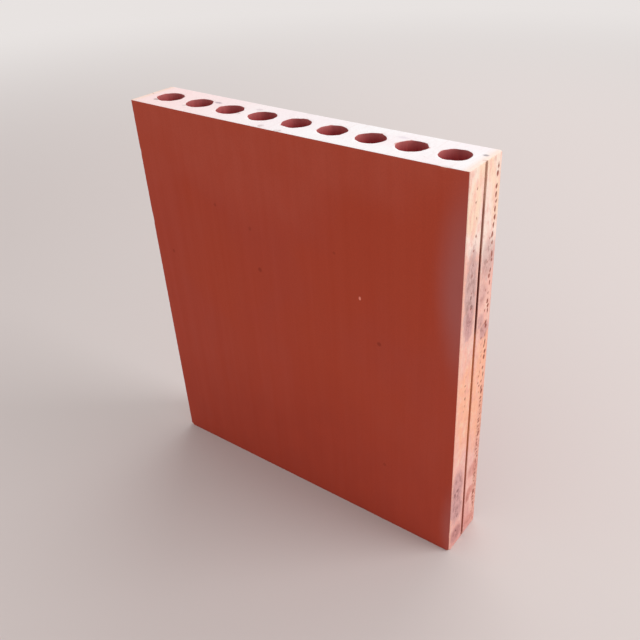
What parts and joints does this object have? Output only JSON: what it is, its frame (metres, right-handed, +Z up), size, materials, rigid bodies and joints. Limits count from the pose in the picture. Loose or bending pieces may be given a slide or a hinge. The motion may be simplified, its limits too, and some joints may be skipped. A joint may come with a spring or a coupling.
{
  "type": "terracotta floor tile",
  "caption": "Upright hollow slab of fired clay with a row of round cores through its length and a slit down each narrow side, split in half into two floor tiles.",
  "frame": {"origin": "middle of the lower cut end, on the floor that the slab stands on", "axes": "+Z up along the cores, +X along the row of cores, +Y through the thickness"},
  "size_m": [0.3, 0.044, 0.33],
  "materials": {
    "terracotta": "unglazed fired clay, matt, with a smooth die skin on the broad faces and rougher cut ends"
  },
  "bodies": {
    "root": {"double_floor_tile": "terracotta"}
  },
  "joints": []
}
